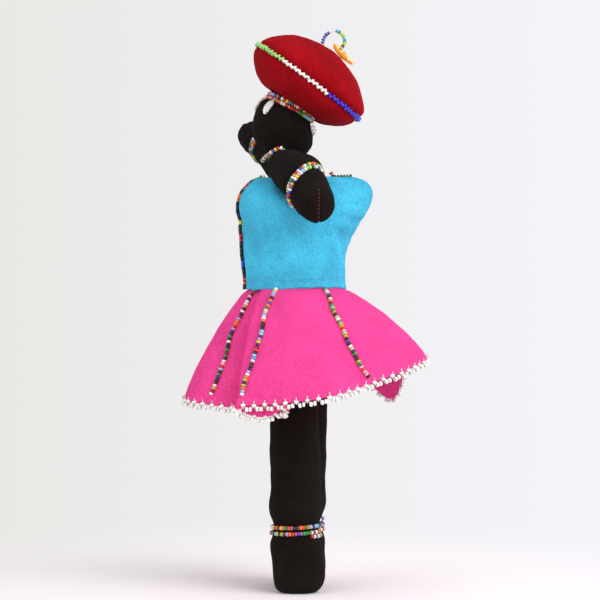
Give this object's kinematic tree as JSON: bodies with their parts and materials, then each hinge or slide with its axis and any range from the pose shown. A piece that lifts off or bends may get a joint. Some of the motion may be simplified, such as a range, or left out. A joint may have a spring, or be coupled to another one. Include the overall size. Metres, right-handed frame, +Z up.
{
  "type": "stuffed felt doll",
  "caption": "Handmade stuffed doll of black felt with a domed disc hat tilted back, felt bodice, flared skirt and glass seed bead trimmings.",
  "frame": {"origin": "on the ground midway between the two soles, at the centre of the bounding box's base", "axes": "+Z up, the doll faces -Y, its left hand is towards +X"},
  "size_m": [0.1108, 0.122, 0.2811],
  "materials": {
    "black_felt": "matt wool felt, brown-black, fuzzy",
    "red_felt": "matt wool felt, deep red",
    "turquoise_felt": "matt felt, turquoise",
    "pink_felt": "matt felt, hot pink",
    "stuffing": "loose white fibre",
    "white_beads": null,
    "mixed_beads": "opaque glass seed beads of many colours on thread",
    "amber_glass": "translucent amber moulded bead"
  },
  "bodies": {
    "torso": {"torso_felt": "black_felt", "torso_stuffing": "stuffing", "neck_felt_roll": "black_felt", "bodice_left_panel": "turquoise_felt", "bodice_right_panel": "turquoise_felt", "bodice_front_beads": "mixed_beads", "bodice_back_beads": "mixed_beads", "skirt_felt": "pink_felt", "skirt_hem_picot": "white_beads", "skirt_string_front_left": "mixed_beads", "skirt_string_front_right": "mixed_beads", "skirt_string_side_left": "mixed_beads", "skirt_string_side_right": "mixed_beads", "skirt_string_back_left": "mixed_beads", "skirt_string_back_right": "mixed_beads", "necklace": "mixed_beads"},
    "head": {"head_felt": "black_felt", "head_stuffing": "stuffing", "headband_lower_row": "mixed_beads", "headband_upper_row": "mixed_beads", "left_eye_beads": "white_beads", "right_eye_beads": "white_beads", "hat_crown_felt": "red_felt", "hat_underside_felt": "red_felt", "hat_stuffing": "stuffing", "hat_rim_beads": "mixed_beads", "hat_flower_stitch": "mixed_beads"},
    "left_arm": {"left_arm_felt": "black_felt", "left_arm_stuffing": "stuffing", "left_bracelet": "mixed_beads"},
    "right_arm": {"right_arm_felt": "black_felt", "right_arm_stuffing": "stuffing", "right_bracelet": "mixed_beads"},
    "left_leg": {"left_leg_felt": "black_felt", "left_leg_stuffing": "stuffing", "left_anklet": "mixed_beads"},
    "right_leg": {"right_leg_felt": "black_felt", "right_leg_stuffing": "stuffing", "right_anklet": "mixed_beads"},
    "hanging_loop": {"hat_hanging_loop": "mixed_beads"},
    "flower_bead": {"hat_flower_bead": "amber_glass"},
    "tie_loop": {"headband_tie_loop": "white_beads"}
  },
  "joints": [
    {"name": "neck_nod", "type": "hinge", "parent": "torso", "child": "head", "pos_m": [0, -0.011, 0.217], "axis": [1, 0, 0], "range_deg": [-10, 10], "stiffness_Nm_per_rad": 0.3},
    {"name": "left_shoulder", "type": "hinge", "parent": "torso", "child": "left_arm", "pos_m": [0.01, -0.013, 0.2108], "axis": [0.4501, -0.893, 0], "range_deg": [-4, 16], "stiffness_Nm_per_rad": 0.05},
    {"name": "right_shoulder", "type": "hinge", "parent": "torso", "child": "right_arm", "pos_m": [-0.01, -0.013, 0.2108], "axis": [-0.3539, 0.9353, 0], "range_deg": [-24, 0], "stiffness_Nm_per_rad": 0.05},
    {"name": "left_hip", "type": "hinge", "parent": "torso", "child": "left_leg", "pos_m": [0.0132, -0.0066, 0.14], "axis": [1, 0, 0], "range_deg": [-28, 28], "stiffness_Nm_per_rad": 0.6},
    {"name": "right_hip", "type": "hinge", "parent": "torso", "child": "right_leg", "pos_m": [-0.0132, 0.0004, 0.14], "axis": [1, 0, 0], "range_deg": [-28, 28], "stiffness_Nm_per_rad": 0.6},
    {"name": "hanging_loop_flop", "type": "hinge", "parent": "head", "child": "hanging_loop", "pos_m": [0, 0.00907, 0.27373], "axis": [0, 0.9694, -0.2454], "range_deg": [-30, 18], "stiffness_Nm_per_rad": 0.0005},
    {"name": "flower_bead_spin", "type": "hinge", "parent": "head", "child": "flower_bead", "pos_m": [0, 0.01749, 0.26652], "axis": [0, 0.7108, 0.7034], "continuous": true},
    {"name": "tie_loop_swing", "type": "hinge", "parent": "head", "child": "tie_loop", "pos_m": [0, 0.0035, 0.2308], "axis": [0, 1, 0], "range_deg": [-25, 25], "stiffness_Nm_per_rad": 0.0005}
  ]
}
